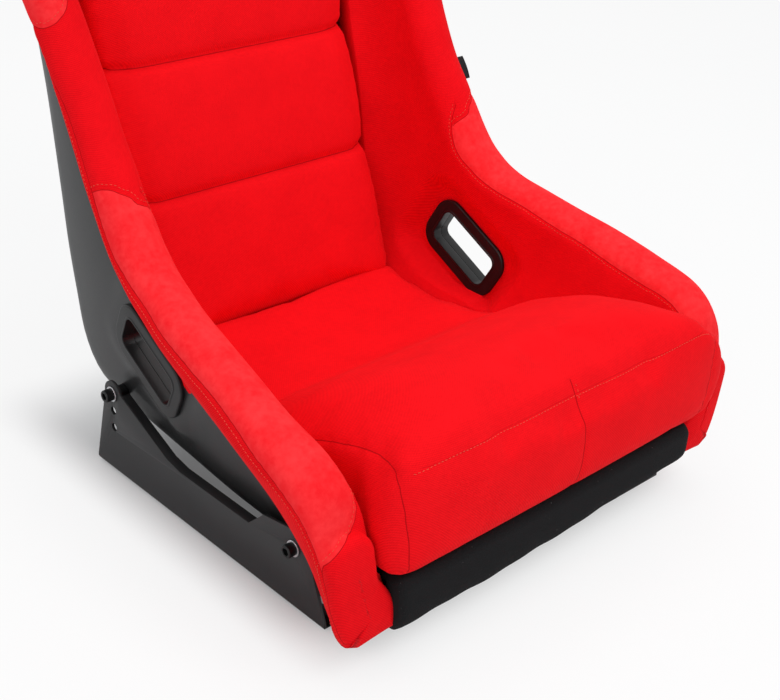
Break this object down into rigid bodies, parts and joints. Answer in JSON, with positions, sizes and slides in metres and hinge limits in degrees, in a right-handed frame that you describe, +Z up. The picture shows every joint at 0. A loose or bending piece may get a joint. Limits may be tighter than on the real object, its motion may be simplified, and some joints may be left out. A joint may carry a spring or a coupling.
{
  "type": "racing seat",
  "caption": "Fixed-back bucket racing seat: moulded shell, padded bolsters, lift-out cushions, belt slots and folded side-mount brackets.",
  "frame": {"origin": "middle of the seat's footprint box, at the height of the bracket feet", "axes": "+X is the sitter's left, the seat faces -Y, +Z is up"},
  "size_m": [0.5642, 0.641, 0.9099],
  "materials": {
    "shell": "satin dark grey moulded glass-fibre composite",
    "suede": "red microfibre suede with a brushed, blotchy nap",
    "cloth": "red knitted seat cloth with a fine diagonal weave",
    "felt": "black non-woven lining cloth",
    "label": "blank black woven label",
    "hook_tape": "black hook-and-loop strip",
    "bezel": "satin black moulded plastic",
    "bracket": "satin black powder-coated steel, 3 mm",
    "zinc": "bright zinc-plated steel",
    "spacer": "black steel spacer",
    "bolt": "black oxide steel, M8 socket cap"
  },
  "bodies": {
    "bucket": {"bucket_shell": "shell", "thigh_bolster_left": "suede", "thigh_bolster_right": "suede", "waist_bolster_left": "cloth", "waist_bolster_right": "cloth", "shoulder_bolster_left": "suede", "shoulder_bolster_right": "suede", "head_surround": "cloth", "seat_lining": "felt", "back_lining": "cloth", "seat_hook_tape_left": "hook_tape", "seat_hook_tape_right": "hook_tape", "back_hook_tape_left": "hook_tape", "back_hook_tape_right": "hook_tape", "side_tag": "label", "front_lip_cover": "felt", "lap_bezel_outer_left": "bezel", "lap_bezel_outer_right": "bezel", "lap_bezel_inner_left": "bezel", "lap_bezel_inner_right": "bezel", "harness_bezel_rear_left": "bezel", "harness_bezel_rear_right": "bezel", "harness_bezel_front_left": "bezel", "harness_bezel_front_right": "bezel", "side_bracket_left": "bracket", "side_bracket_right": "bracket", "front_spacer_left": "spacer", "front_spacer_right": "spacer", "front_washer_left": "zinc", "front_washer_right": "zinc", "front_insert_left": "zinc", "front_insert_right": "zinc", "front_bolt_left": "bolt", "front_bolt_right": "bolt", "rear_spacer_left": "spacer", "rear_spacer_right": "spacer", "rear_washer_left": "zinc", "rear_washer_right": "zinc", "rear_insert_left": "zinc", "rear_insert_right": "zinc", "rear_bolt_left": "bolt", "rear_bolt_right": "bolt"},
    "seat_pad": {"seat_cushion": "cloth"},
    "back_pad": {"back_cushion": "cloth"},
    "head_rest": {"head_pad": "cloth"}
  },
  "joints": [
    {"name": "seat_cushion_lift", "type": "slide", "parent": "bucket", "child": "seat_pad", "axis": [0, -0.7071, 0.7071], "range_m": [0, 0.15]},
    {"name": "back_cushion_lift", "type": "slide", "parent": "bucket", "child": "back_pad", "axis": [0, -0.9, 0.4359], "range_m": [0, 0.1]},
    {"name": "head_pad_lift", "type": "slide", "parent": "bucket", "child": "head_rest", "axis": [0, -0.9914, 0.1305], "range_m": [0, 0.08]}
  ]
}
